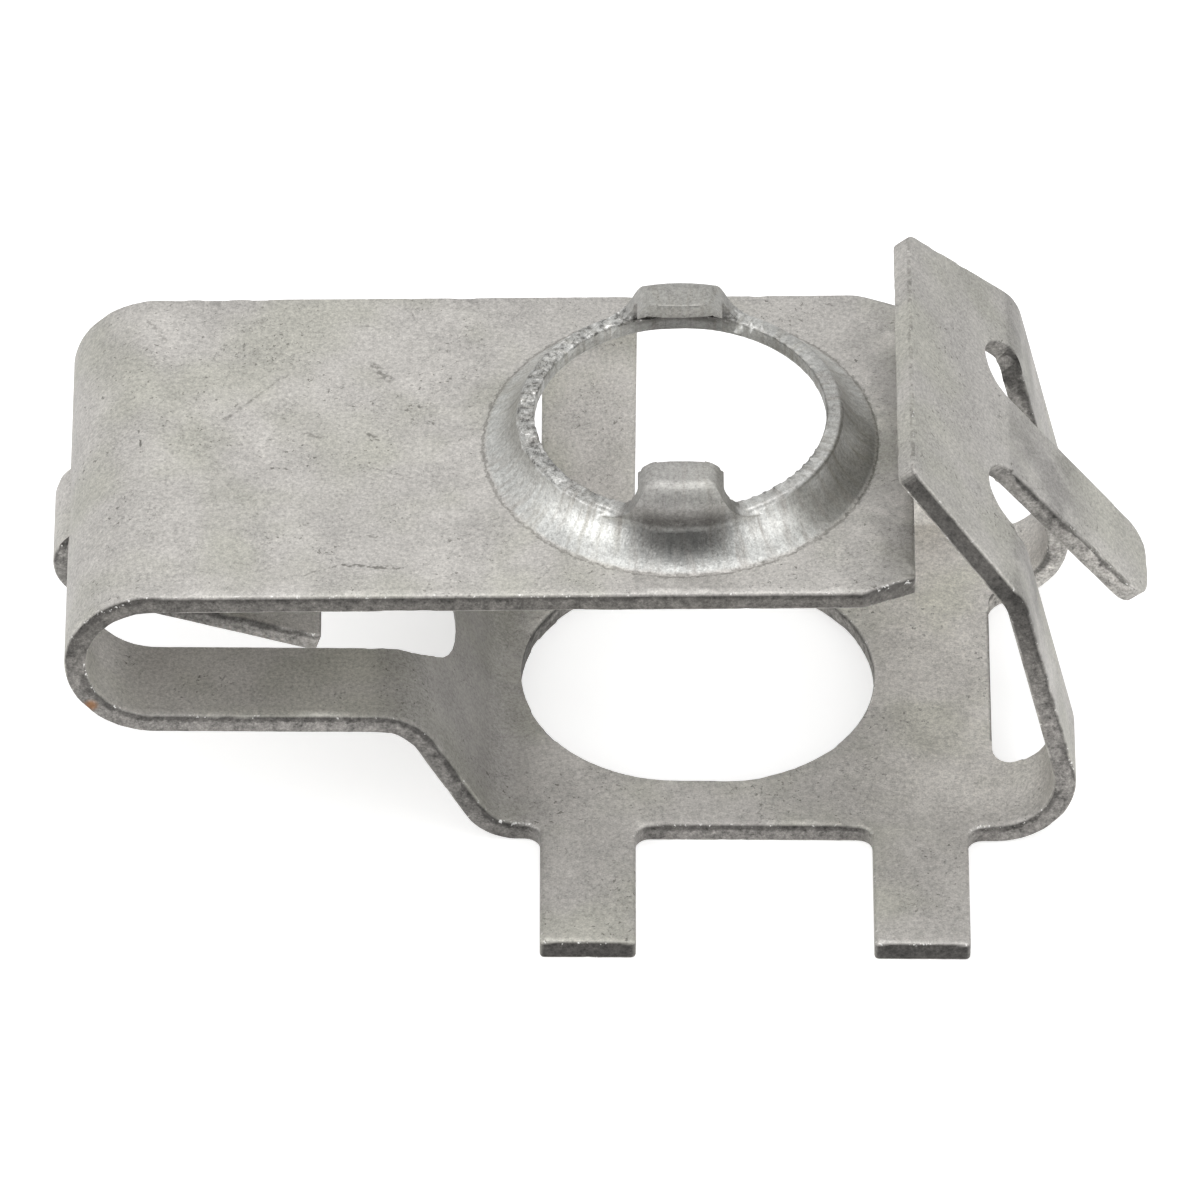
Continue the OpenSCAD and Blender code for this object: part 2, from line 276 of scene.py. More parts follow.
def rounded_sheet(solid, tree):
    """The sheet with its flats joined up and its sheared edges rounded over."""
    bm = bmesh.new()
    bm.from_mesh(solid)
    bmesh.ops.remove_doubles(bm, verts=bm.verts, dist=WELD)
    flats = [e for e in bm.edges if not at_collar_end(e)]
    corners = list({v for e in flats for v in e.verts})
    bmesh.ops.dissolve_limit(bm, angle_limit=FLAT, verts=corners, edges=flats)
    for edge in bm.edges:
        if at_foot(edge) and edge.calc_face_angle(0) > FOOT_ANGLE:
            edge.smooth = False
    split_long_edges(sharp_edges(bm))
    round_edges(bm, [e for e in sharp_edges(bm) if not at_collar_end(e)], EDGE_ROUND)
    round_edges(bm, [e for e in sharp_edges(bm) if at_collar_end(e)], RIM_ROUND)
    bmesh.ops.triangulate(bm, faces=[f for f in bm.faces if len(f.verts) > 4 and on_rim(f.verts)],
                          ngon_method="EAR_CLIP")
    cut_in_cells(bm)
    mesh = bpy.data.meshes.new("retainer_sheet")
    bm.to_mesh(mesh)
    bm.free()
    points = points_of(mesh)
    seats, _ = nearest_on(tree, points)
    stray = np.linalg.norm(points - seats, axis=1) > STRAY
    points[stray] = seats[stray]
    place_points(mesh, points)
    return mesh


def by_collar(points):
    """Which points belong to the drawn collar and its ears."""
    reach, height, _ = in_collar(points)
    return (reach < FOOT_R + SHEET_T) & (height > -SHEET_T / 4)


def sheared_share(places, normals, tree):
    """How much of the sheared look each place has: all of it inside the strip and at its sides."""
    cut = (depth_of_metal(tree, places, normals) > CUT_DEPTH) & ~by_collar(places)
    flap_end = (normals[:, 0] < -0.3) & (places[:, 2] > 0)
    inner = (abs(places[:, 1]) < INNER_CUT) & ~flap_end
    return cut * np.where(inner, 1, END_CUT + (1 - END_CUT) * abs(normals[:, 1]))


def mark_surfaces(mesh, tree):
    """Stores where the sheet was sheared through, where its edges are and which of them face up.

    Gives each face its finish, and returns the points on the rounded edges.
    """
    points = points_of(mesh)
    seats, _ = nearest_on(tree, points)
    edge = (np.linalg.norm(points - seats, axis=1) > ON_EDGE).astype(float)
    upper = smoothstep(-0.05, 0.05, normals_of(mesh)[:, 2])
    centres = np.array([p.center for p in mesh.polygons])
    face_cut = sheared_share(*nearest_on(tree, centres), tree)
    corner_point = np.array([c.vertex_index for c in mesh.loops])
    corner_face = np.repeat(np.arange(len(centres)), [p.loop_total for p in mesh.polygons])
    on_edge = np.bincount(corner_face, edge[corner_point]) > 0
    point_cut = np.bincount(corner_point, face_cut[corner_face]) / np.bincount(corner_point)
    cut = np.where(on_edge[corner_face], point_cut[corner_point], face_cut[corner_face])
    mesh.attributes.new("cut_face", "FLOAT", "CORNER").data.foreach_set("value", cut)
    mesh.attributes.new("edge", "FLOAT", "POINT").data.foreach_set("value", edge)
    mesh.attributes.new("upper", "FLOAT", "POINT").data.foreach_set("value", upper)
    others = np.where(on_edge | (face_cut > 0), SHEARED_FINISH, FLAT_FINISH)
    finish = np.where(by_collar(centres), COLLAR_FINISH, others)
    mesh.polygons.foreach_set("material_index", finish.tolist())
    return edge


def uneven_edges(points, normals, edge):
    """Small nicks and waves along the sheared edges."""
    nicks = NICK * smoothstep(0.2, 0.55, ragged(points, 1.1 * MM, 3))
    waves = WAVER * ragged(points, 0.4 * MM, 7)
    return points - normals * ((nicks + waves) * edge)[:, None]


def torn_rim(points):
    """The collar's end, torn where the punch broke through, most of all at one side."""
    reach, height, angle = in_collar(points)
    rim = (abs(height - COLLAR_H) < 0.16 * MM) & (reach < BORE_R + RIM_WALL + 0.1 * MM)
    side = 0.05 + 0.95 * smoothstep(-0.2, 0.7, np.cos(angle - TEAR_TOWARDS))
    down = TEAR * side * rim * smoothstep(-0.1, 0.6, ragged(points, 0.55 * MM, 11))
    out = 0.5 * TEAR * side * rim * ragged(points, 0.45 * MM, 17)
    axis = np.array(COLLAR_UP)
    outward = points - (points @ axis)[:, None] * axis
    outward /= np.linalg.norm(outward, axis=1)[:, None]
    return points - down[:, None] * axis + out[:, None] * outward


def worn_ears(points):
    """The tips of the ears, with their corners worn back."""
    reach, height, _ = in_collar(points)
    along, side = points @ np.array(LEAF_ALONG), points @ np.array(LEAF_SIDE)
    tip = (height > COLLAR_H + RIM_DEPTH) & (reach < BORE_R - EAR_WEAR)
    back = EAR_WEAR * np.clip(along / EAR_HALF, -1, 1) ** 2 * np.sign(side) * tip
    return points + back[:, None] * np.array(LEAF_SIDE)


def build_retainer(finishes):
    """The folded sheet as one piece for the solid, with the finishes of its flats, collar and cuts."""
    solid = frame["nodes"]["retainer"]
    tree = solid_tree(solid.data)
    mesh = rounded_sheet(solid.data, tree)
    for finish in finishes:
        mesh.materials.append(finish)
    edge = mark_surfaces(mesh, tree)
    points = uneven_edges(points_of(mesh), normals_of(mesh), edge)
    place_points(mesh, keep_in_box(worn_ears(torn_rim(points))))
    mesh.polygons.foreach_set("use_smooth", [True] * len(mesh.polygons))
    piece = bpy.data.objects.new("retainer_sheet", mesh)
    bpy.context.scene.collection.objects.link(piece)
    flatten = piece.modifiers.new("flat_faces_stay_flat", "WEIGHTED_NORMAL")
    flatten.weight = 50
    flatten.keep_sharp = True
    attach(piece, "root")
    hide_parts("retainer")
    return piece


# Shader helpers


def node(tree, kind, inputs=None, **settings):
    """A shader node with its settings, its values and its links."""
    made = tree.nodes.new(kind)
    for name, value in settings.items():
        setattr(made, name, value)
    for key, value in (inputs or {}).items():
        if isinstance(value, bpy.types.NodeSocket):
            tree.links.new(value, made.inputs[key])
        else:
            made.inputs[key].default_value = value
    return made


def new_material(name):
    """An empty material and its node tree."""
    made = bpy.data.materials.new(name)
    made.use_nodes = True
    made.node_tree.nodes.clear()
    return made, made.node_tree


def new_group(name, inputs, outputs):
    """An empty shader group with named sockets: its tree, its inputs and its output node."""
    tree = bpy.data.node_groups.new(name, "ShaderNodeTree")
    for socket, kind in inputs.items():
        tree.interface.new_socket(socket, in_out="INPUT", socket_type=kind)
    for socket, kind in outputs.items():
        tree.interface.new_socket(socket, in_out="OUTPUT", socket_type=kind)
    return tree, tree.nodes.new("NodeGroupInput").outputs, tree.nodes.new("NodeGroupOutput").inputs


def placed(tree, group, **inputs):
    """A group set into a tree, with its values and links: its outputs."""
    made = tree.nodes.new("ShaderNodeGroup")
    made.node_tree = group
    for name, value in inputs.items():
        if isinstance(value, bpy.types.NodeSocket):
            tree.links.new(value, made.inputs[name])
        else:
            made.inputs[name].default_value = value
    return made.outputs


def math_of(tree, operation, *values, clamp=False):
    """A sum or other operation on values."""
    made = node(tree, "ShaderNodeMath", dict(enumerate(values)), operation=operation, use_clamp=clamp)
    return made.outputs[0]


def vector_of(tree, operation, *values, out="Vector"):
    """An operation on vectors."""
    made = node(tree, "ShaderNodeVectorMath", dict(enumerate(values)), operation=operation)
    return made.outputs[out]


def between(tree, value, low, high):
    """0 below low, 1 above high, and smooth between."""
    made = node(tree, "ShaderNodeMapRange", {"Value": value, "From Min": low, "From Max": high},
                interpolation_type="SMOOTHSTEP")
    return made.outputs[0]


def noise_of(tree, place, scale, detail=2.0, roughness=0.5):
    """Noise over a place, with features about 1 / scale across."""
    made = node(tree, "ShaderNodeTexNoise", {"Vector": place, "Scale": scale, "Detail": detail,
                                             "Roughness": roughness})
    return made.outputs["Fac"]


def mixed(tree, share, first, second):
    """One colour over another, by a share."""
    made = node(tree, "ShaderNodeMix", {0: share, 6: first, 7: second}, data_type="RGBA")
    return made.outputs[2]


def blended(tree, share, first, second):
    """One value over another, by a share."""
    return node(tree, "ShaderNodeMix", {0: share, 2: first, 3: second}, data_type="FLOAT").outputs[0]


def millimetres(tree):
    """The place on the object, in millimetres."""
    place = node(tree, "ShaderNodeTexCoord").outputs["Object"]
    made = node(tree, "ShaderNodeVectorMath", {0: place, "Scale": 1 / MM}, operation="SCALE")
    return made.outputs[0]


def attribute(tree, name):
    """A mask stored on the sheet's points or on the corners of its faces."""
    return node(tree, "ShaderNodeAttribute", attribute_name=name).outputs["Fac"]


# Finish of the sheet, with lengths in millimetres

ZINC = (0.500, 0.482, 0.457, 1)
ZINC_OLIVE = (0.465, 0.455, 0.410, 1)
# Dirt, also used as painted shade on the collar's sides
DIRT_AND_SHADE = (0.13, 0.125, 0.11, 1)
BURNISHED = (0.66, 0.665, 0.645, 1)
# The sheared faces' own colour, also used as painted shade under the collar's ears
SHEARED_AND_SHADE = (0.11, 0.104, 0.096, 1)
# Paler sheared colour: painted light on low sheared faces, and the torn rim's own paler metal
SHEARED_PALE_AND_LIT = (0.19, 0.181, 0.170, 1)
SHEARED_INNER = (0.235, 0.226, 0.212, 1)
SHEARED_WINDOW = (0.34, 0.327, 0.307, 1)
# Darkest sheared colour: the pits and the tabs' ends, and painted shade along sheared top edges
SHEARED_DARK_AND_SHADE = (0.05, 0.047, 0.044, 1)
# Bare steel, also used as painted glints on burrs and on the torn rim
BARE_STEEL_AND_GLINT = (0.80, 0.79, 0.77, 1)
RUST = (0.23, 0.105, 0.04, 1)

# Scratches and smudged lines on the leaf and the base: from, to, width, strength
MARKS = (
    ((-25.0, 1.8, -2.0), (-24.7, -0.2, -2.0), 0.11, 0.9),
    ((-17.2, -8.8, -1.8), (-15.5, -8.1, -1.8), 0.09, 0.5),
    ((-15.5, -8.1, -1.8), (-12.8, -8.4, -1.8), 0.13, 0.75),
    ((-14.7, -6.1, -1.8), (-13.8, -6.3, -1.8), 0.09, 0.5),
    ((-14.3, 0.8, -1.8), (-13.9, 0.4, -1.8), 0.16, 0.7),
    ((-14.1, 5.5, -1.8), (-13.4, 4.6, -1.8), 0.34, 0.6),
    ((-17.2, 0.8, -1.8), (-16.5, 0.6, -1.8), 0.24, 0.45),
    ((-20.9, 1.8, -1.9), (-18.0, 5.1, -1.9), 0.12, 0.4),
    ((-14.7, -1.3, -1.8), (-12.2, -2.3, -1.8), 0.08, 0.45),
    ((-24.5, 8.8, -2.0), (-23.8, 7.4, -2.0), 0.20, 0.4),
    ((3.9, -7.8, -15.9), (3.8, -10.1, -15.9), 0.09, 0.6),
)

# Dark lines along the edges of the flap's end and the prong: from, to, width, strength
DARK_EDGE_LINES = (
    ((10.5, -7.8, 4.2), (10.5, 7.8, 4.2), 0.24, 0.55),
    ((17.4, -1.9, -4.0), (20.8, -1.9, -8.4), 0.22, 0.6),
)

# Edges where bright burrs show, with bare steel and painted glints on them: from, to, width, strength
BURR_GLINTS = (
    ((-8.4, -10.3, -15.6), (-6.5, -10.3, -16.0), 0.32, 0.9),
    ((13.2, -10.3, -16.0), (15.8, -10.3, -15.6), 0.30, 0.8),
    ((9.0, -10.0, -1.4), (10.6, -9.4, -1.4), 0.28, 0.9),
    ((-28.8, -2.4, -6.0), (-28.1, -2.4, -5.9), 0.25, 0.9),
    ((-27.1, -10.3, -3.1), (-25.2, -10.3, -2.1), 0.35, 0.7),
    ((-26.0, -10.3, -7.6), (-22.0, -10.3, -9.2), 0.30, 0.45),
    ((-22.0, -10.3, -9.15), (-12.8, -10.3, -9.1), 0.16, 0.35),
)
RUST_SPOT = (-26.9, -10.3, -8.6)

# Heights between which the sheared face turns lighter with painted light, where the front tabs end, and the
# joggle
LIGHT_BELOW = (-4.0, -10.0)
TAB_END = (-18.1, -17.6)
JOGGLE_X = -10.0

# The flap's direction towards its free end, and where along it the end begins
FLAP_ALONG = (-0.656, 0, 0.755)
FLAP_END = (-3.95, -3.80)

# How fine the streaks on the collar's flank are, round it and outward
STREAK_SCALE = (2.2, 0.5, 1)

# Metal and roughness of the plating, the burnished flank, the sheared faces and the bright burrs
METAL = 0.5
METAL_BURNISHED = 0.95
ROUGH = 0.50
ROUGH_BURNISHED = 0.36
ROUGH_SHEARED = 0.55
ROUGH_BURR = 0.30
BUMP_STRENGTH = 0.5
BUMP_DEPTH = 0.03 * MM


def zinc_grain():
    """The fine grain of dull zinc plating: tone, olive patches, dark specks and height."""
    tree, given, made = new_group("zinc_grain", {"Place": "NodeSocketVector"}, {
        "Tone": "NodeSocketFloat", "Olive": "NodeSocketFloat", "Specks": "NodeSocketFloat",
        "Height": "NodeSocketFloat"})
    place = given["Place"]
    fine = noise_of(tree, place, 5.5, 2.0, 0.7)
    crumbs = noise_of(tree, place, 13.0, 1.0)
    clouds = noise_of(tree, place, 0.4, 2.0, 0.6)
    both = math_of(tree, "ADD", math_of(tree, "MULTIPLY", fine, 1.4), math_of(tree, "MULTIPLY", crumbs, 0.8))
    tone = math_of(tree, "MULTIPLY_ADD", clouds, 0.7, both)
    tree.links.new(math_of(tree, "SUBTRACT", tone, 1.45), made["Tone"])
    tree.links.new(between(tree, noise_of(tree, place, 0.17, 2.0, 0.6), 0.42, 0.66), made["Olive"])
    spots = between(tree, noise_of(tree, place, 3.6, 2.0, 0.75), 0.62, 0.70)
    patches = between(tree, noise_of(tree, place, 0.27, 1.0), 0.40, 0.62)
    tree.links.new(math_of(tree, "MULTIPLY", spots, patches), made["Specks"])
    tree.links.new(math_of(tree, "MULTIPLY", both, 0.45), made["Height"])
    return tree


def tone_and_painted_light_along_strip():
    """Broad differences of tone: painted shade in the joggle under the leaf and on the flap, painted light on
    the base by the wall, patchy and darker at the leaf's end, lighter at the flap's end.
    """
    tree, given, made = new_group("tone_and_painted_light_along_strip", {"Place": "NodeSocketVector"},
                                  {"Tone": "NodeSocketFloat"})
    axes = node(tree, "ShaderNodeSeparateXYZ", {0: given["Place"]}).outputs
    # Painted shade: darker in the joggle, under the leaf
    off = math_of(tree, "ABSOLUTE", math_of(tree, "SUBTRACT", axes[0], JOGGLE_X))
    joggle_shade = math_of(tree, "SUBTRACT", 1.0, between(tree, off, 1.5, 5.0))
    # Painted light: the base brighter by the wall, past the leaf's end
    base = between(tree, axes[2], -14.0, -15.5)
    flat = math_of(tree, "MULTIPLY", base, between(tree, axes[1], -10.5, -8.0))
    painted_bright = math_of(tree, "MULTIPLY", between(tree, axes[0], 7.0, 12.0), flat)
    below = math_of(tree, "MULTIPLY_ADD", joggle_shade, -0.32, math_of(tree, "MULTIPLY_ADD", painted_bright, 0.35, 1.0))
    patchy = noise_of(tree, given["Place"], 0.5, 2.0, 0.6)
    end = math_of(tree, "MULTIPLY", between(tree, axes[0], 6.0, 10.0), between(tree, patchy, 0.3, 0.6))
    end = math_of(tree, "MULTIPLY", end, between(tree, axes[2], -0.9, -1.3))
    above = math_of(tree, "MULTIPLY_ADD", end, -0.25, 1.0)
    # Painted shade: the flap darker
    flap = between(tree, math_of(tree, "MULTIPLY_ADD", axes[2], 1.5, axes[0]), 9.0, 10.0)
    above = math_of(tree, "MULTIPLY_ADD", flap, -0.13, above)
    outward = vector_of(tree, "DOT_PRODUCT", given["Place"], FLAP_ALONG, out="Value")
    end = math_of(tree, "MULTIPLY", flap, between(tree, outward, *FLAP_END))
    above = math_of(tree, "MULTIPLY_ADD", end, 0.16, above)
    tone = blended(tree, between(tree, axes[2], -4.0, -7.0), above, below)
    tree.links.new(tone, made["Tone"])
    return tree


def hairlines():
    """Thin wandering lines that come and go."""
    tree, given, made = new_group("hairlines", {"Place": "NodeSocketVector"}, {"Mask": "NodeSocketFloat"})
    place = given["Place"]
    level = noise_of(tree, place, 0.4, 4.0, 0.65)
    off = math_of(tree, "ABSOLUTE", math_of(tree, "SUBTRACT", level, 0.5))
    line = math_of(tree, "SUBTRACT", 1.0, between(tree, off, 0.002, 0.009))
    broken = between(tree, noise_of(tree, place, 0.55, 2.0), 0.52, 0.66)
    tree.links.new(math_of(tree, "MULTIPLY", line, broken), made["Mask"])
    return tree


def scratch_line():
    """The stretch near the line from a point to a point."""
    tree, given, made = new_group("scratch_line", {
        "Place": "NodeSocketVector", "From": "NodeSocketVector", "To": "NodeSocketVector",
        "Width": "NodeSocketFloat"}, {"Mask": "NodeSocketFloat"})
    away = vector_of(tree, "SUBTRACT", given["Place"], given["From"])
    run = vector_of(tree, "SUBTRACT", given["To"], given["From"])
    along = math_of(tree, "DIVIDE", vector_of(tree, "DOT_PRODUCT", away, run, out="Value"),
                    vector_of(tree, "DOT_PRODUCT", run, run, out="Value"), clamp=True)
    foot = node(tree, "ShaderNodeVectorMath", {0: run, "Scale": along}, operation="SCALE").outputs[0]
    gap = vector_of(tree, "DISTANCE", away, foot, out="Value")
    near = between(tree, math_of(tree, "DIVIDE", gap, given["Width"]), 0.3, 1.0)
    tree.links.new(math_of(tree, "SUBTRACT", 1.0, near), made["Mask"])
    return tree


def drawn_collar():
    """Where the collar was drawn: burnished flank, painted shade on its sides, streaks, torn end, foot, and
    painted shade under the ears and at their roots.
    """
    tree, given, made = new_group("drawn_collar", {"Place": "NodeSocketVector"}, {
        "Flank": "NodeSocketFloat", "ShadedSides": "NodeSocketFloat", "Streaks": "NodeSocketFloat",
        "Torn": "NodeSocketFloat", "Pits": "NodeSocketFloat", "Bits": "NodeSocketFloat",
        "Foot": "NodeSocketFloat", "ShadeUnderEars": "NodeSocketFloat"})
    place = given["Place"]
    up = vector_of(tree, "DOT_PRODUCT", place, tuple(COLLAR_UP), out="Value")
    along = vector_of(tree, "DOT_PRODUCT", place, tuple(LEAF_ALONG), out="Value")
    side = vector_of(tree, "DOT_PRODUCT", place, tuple(LEAF_SIDE), out="Value")
    height = math_of(tree, "SUBTRACT", up, LEAF_TOP / MM)
    squares = math_of(tree, "MULTIPLY_ADD", along, along, math_of(tree, "POWER", side, 2.0))
    reach = math_of(tree, "SQRT", squares)
    angle = math_of(tree, "ARCTAN2", side, along)
    inside = math_of(tree, "SUBTRACT", 1.0, between(tree, reach, FOOT_R / MM - 0.2, FOOT_R / MM + 0.05))
    flank = math_of(tree, "MULTIPLY", inside, between(tree, height, 0.02, 0.15))
    on_ear = between(tree, height, COLLAR_H / MM, COLLAR_H / MM + 0.6)
    flank = math_of(tree, "MULTIPLY", flank, math_of(tree, "MULTIPLY_ADD", on_ear, -0.5, 1.0))
    # Painted shade: the flank darker towards its left and right sides
    across = math_of(tree, "DIVIDE", along, reach)
    tree.links.new(math_of(tree, "MULTIPLY", flank, math_of(tree, "POWER", across, 4.0)), made["ShadedSides"])
    torn = between(tree, height, COLLAR_H / MM - 0.2, COLLAR_H / MM - 0.08)
    torn = math_of(tree, "MULTIPLY", torn, inside)
    turned = math_of(tree, "COSINE", math_of(tree, "SUBTRACT", angle, TEAR_TOWARDS))
    rough = math_of(tree, "MULTIPLY_ADD", between(tree, turned, -0.3, 0.6), 0.75, 0.25)
    rough = math_of(tree, "MULTIPLY", rough, between(tree, height, COLLAR_H / MM + 0.3, COLLAR_H / MM + 0.1))
    rough = math_of(tree, "MULTIPLY", torn, rough)
    crumbs = noise_of(tree, place, 3.2, 3.0, 0.8)
    tree.links.new(math_of(tree, "MULTIPLY", rough, between(tree, crumbs, 0.52, 0.36)), made["Pits"])
    tree.links.new(math_of(tree, "MULTIPLY", rough, between(tree, crumbs, 0.54, 0.68)), made["Bits"])
    turned_by = math_of(tree, "MULTIPLY", angle, 9.0)
    polar = node(tree, "ShaderNodeCombineXYZ", {0: turned_by, 1: reach}).outputs[0]
    streaks = node(tree, "ShaderNodeVectorMath", {0: polar, 1: STREAK_SCALE}, operation="MULTIPLY").outputs[0]
    jagged = math_of(tree, "MULTIPLY_ADD", noise_of(tree, place, 3.0, 2.0, 0.7), 0.5, FOOT_R / MM - 0.27)
    ring = math_of(tree, "ABSOLUTE", math_of(tree, "SUBTRACT", reach, jagged))
    foot = math_of(tree, "SUBTRACT", 1.0, between(tree, ring, 0.03, 0.11))
    low = math_of(tree, "SUBTRACT", 1.0, between(tree, math_of(tree, "ABSOLUTE", height), 0.1, 0.3))
    # Painted shade: the flank darker below the ears and up into them, fading higher up
    under_ear = math_of(tree, "SUBTRACT", 1.0, between(tree, math_of(tree, "ABSOLUTE", along), 1.2, 3.4))
    ear_shade = math_of(tree, "MULTIPLY", between(tree, height, 0.2, 1.0), 0.6)
    ear_shade = math_of(tree, "MULTIPLY_ADD", between(tree, height, 1.5, 1.8), 0.3, ear_shade)
    fading = math_of(tree, "MULTIPLY_ADD", between(tree, height, 2.0, 3.4), -0.8, 1.0)
    root = math_of(tree, "MULTIPLY", under_ear, math_of(tree, "MULTIPLY", ear_shade, fading))
    tree.links.new(math_of(tree, "MULTIPLY", root, inside), made["ShadeUnderEars"])
    tree.links.new(flank, made["Flank"])
    tree.links.new(noise_of(tree, streaks, 1.0, 3.0, 0.65), made["Streaks"])
    tree.links.new(torn, made["Torn"])
    tree.links.new(math_of(tree, "MULTIPLY", foot, low), made["Foot"])
    return tree


def sheared_face():
    """The torn face that shearing leaves, lighter low down with painted light, with painted shade along its
    top edge, darker at the tabs' ends, and painted glints on its burrs.
    """
    tree, given, made = new_group("sheared_face", {
        "Place": "NodeSocketVector", "Edge": "NodeSocketFloat", "Upper": "NodeSocketFloat"}, {
        "Colour": "NodeSocketColor", "BurrGlint": "NodeSocketFloat", "Grains": "NodeSocketFloat",
        "Blotches": "NodeSocketFloat", "Height": "NodeSocketFloat"})
    place = given["Place"]
    rough = noise_of(tree, place, 7.0, 2.0, 0.75)
    axes = node(tree, "ShaderNodeSeparateXYZ", {0: place}).outputs
    # Painted light: the sheared face lighter low down, near the floor
    low = between(tree, axes[2], *LIGHT_BELOW)
    colour = mixed(tree, low, SHEARED_AND_SHADE, SHEARED_PALE_AND_LIT)
    middle = math_of(tree, "ABSOLUTE", axes[1])
    outer = between(tree, middle, INNER_CUT / MM, INNER_CUT / MM + 0.3)
    inner = mixed(tree, between(tree, axes[0], 5.0, 10.0), SHEARED_INNER, SHEARED_WINDOW)
    colour = mixed(tree, outer, inner, colour)
    end = math_of(tree, "SUBTRACT", 1.0, between(tree, axes[1], *TAB_END))
    colour = mixed(tree, end, colour, SHEARED_DARK_AND_SHADE)
    # Painted shade: a darker band along the sheared face's top edge
    wavering = math_of(tree, "MULTIPLY_ADD", noise_of(tree, place, 2.0, 2.0, 0.7), 0.8, given["Upper"])
    painted_top_shade = math_of(tree, "MULTIPLY", between(tree, wavering, 1.0, 1.3), 0.7)
    colour = mixed(tree, painted_top_shade, colour, SHEARED_DARK_AND_SHADE)
    blotches = noise_of(tree, place, 2.3, 2.0, 0.65)
    shade = math_of(tree, "MULTIPLY_ADD", math_of(tree, "ADD", rough, blotches), 1.7, -0.7)
    colour = node(tree, "ShaderNodeHueSaturation", {"Color": colour, "Value": shade}).outputs[0]
    tree.links.new(colour, made["Colour"])
    tree.links.new(rough, made["Height"])
    # Painted glints: fine bright sparkle on the rounded edges
    grains = between(tree, noise_of(tree, place, 6.5, 1.0, 0.6), 0.58, 0.68)
    patches = between(tree, blotches, 0.52, 0.62)
    painted_bright = math_of(tree, "MULTIPLY", math_of(tree, "MULTIPLY", grains, patches), given["Edge"])
    tree.links.new(math_of(tree, "MULTIPLY", painted_bright, 0.8), made["BurrGlint"])
    tree.links.new(grains, made["Grains"])
    tree.links.new(blotches, made["Blotches"])
    return tree


def wavering_place(tree, place):
    """The place, shifted a little to and fro, so that a straight line wavers."""
    wobble = node(tree, "ShaderNodeTexNoise", {"Vector": place, "Scale": 2.6, "Detail": 1.0}).outputs["Color"]
    shift = vector_of(tree, "SUBTRACT", wobble, (0.5, 0.5, 0.5))
    shift = node(tree, "ShaderNodeVectorMath", {0: shift, "Scale": 0.35}, operation="SCALE").outputs[0]
    return vector_of(tree, "ADD", place, shift)


def along_lines(tree, line, place, lines):
    """A mask of all the stretches near the lines, each with its strength."""
    mask = None
    for start, end, width, strength in lines:
        one = placed(tree, line, Place=place, From=start, To=end, Width=width)["Mask"]
        one = math_of(tree, "MULTIPLY", one, strength)
        mask = one if mask is None else math_of(tree, "MAXIMUM", mask, one)
    return mask


def started(name, groups):
    """Starts a finish: its material, tree, place, grain, colour and roughness."""
    made, tree = new_material(name)
    place = millimetres(tree)
    grain = placed(tree, groups["grain"], Place=place)
    colour = mixed(tree, grain["Olive"], ZINC, ZINC_OLIVE)
    colour = mixed(tree, math_of(tree, "MULTIPLY", grain["Specks"], 0.75), colour, DIRT_AND_SHADE)
    roughness = math_of(tree, "MULTIPLY_ADD", grain["Tone"], 0.06, ROUGH)
    return made, tree, place, grain, colour, roughness


def ended(tree, groups, place, grain, colour, metallic, roughness, height):
    """Ends a finish with the tone, painted light and painted shade of its place on the strip, its bump and
    its shader.
    """
    tone = math_of(tree, "MULTIPLY_ADD", grain["Tone"], 0.75, 1.0)
    tone = math_of(tree, "MULTIPLY", tone, placed(tree, groups["strip"], Place=place)["Tone"])
    colour = node(tree, "ShaderNodeHueSaturation", {"Color": colour, "Value": tone}).outputs[0]
    bump = node(tree, "ShaderNodeBump", {"Strength": BUMP_STRENGTH, "Distance": BUMP_DEPTH, "Height": height})
    shader = node(tree, "ShaderNodeBsdfPrincipled", {
        "Base Color": colour,
        "Metallic": metallic,
        "Roughness": roughness,
        "Normal": bump.outputs[0],
    })
    node(tree, "ShaderNodeOutputMaterial", {"Surface": shader.outputs[0]})


def flat_zinc(groups):
    """Dull zinc plating on the flats and bends, with its hairlines and scratches."""
    made, tree, place, grain, colour, roughness = started("flat_zinc", groups)
    lines = placed(tree, hairlines(), Place=place)["Mask"]
    colour = mixed(tree, math_of(tree, "MULTIPLY", lines, 0.35), colour, DIRT_AND_SHADE)
    marks = along_lines(tree, groups["line"], wavering_place(tree, place), MARKS)
    broken = between(tree, noise_of(tree, place, 4.5, 1.0), 0.36, 0.56)
    colour = mixed(tree, math_of(tree, "MULTIPLY", marks, broken), colour, DIRT_AND_SHADE)
    ended(tree, groups, place, grain, colour, METAL, roughness, grain["Height"])
    return made


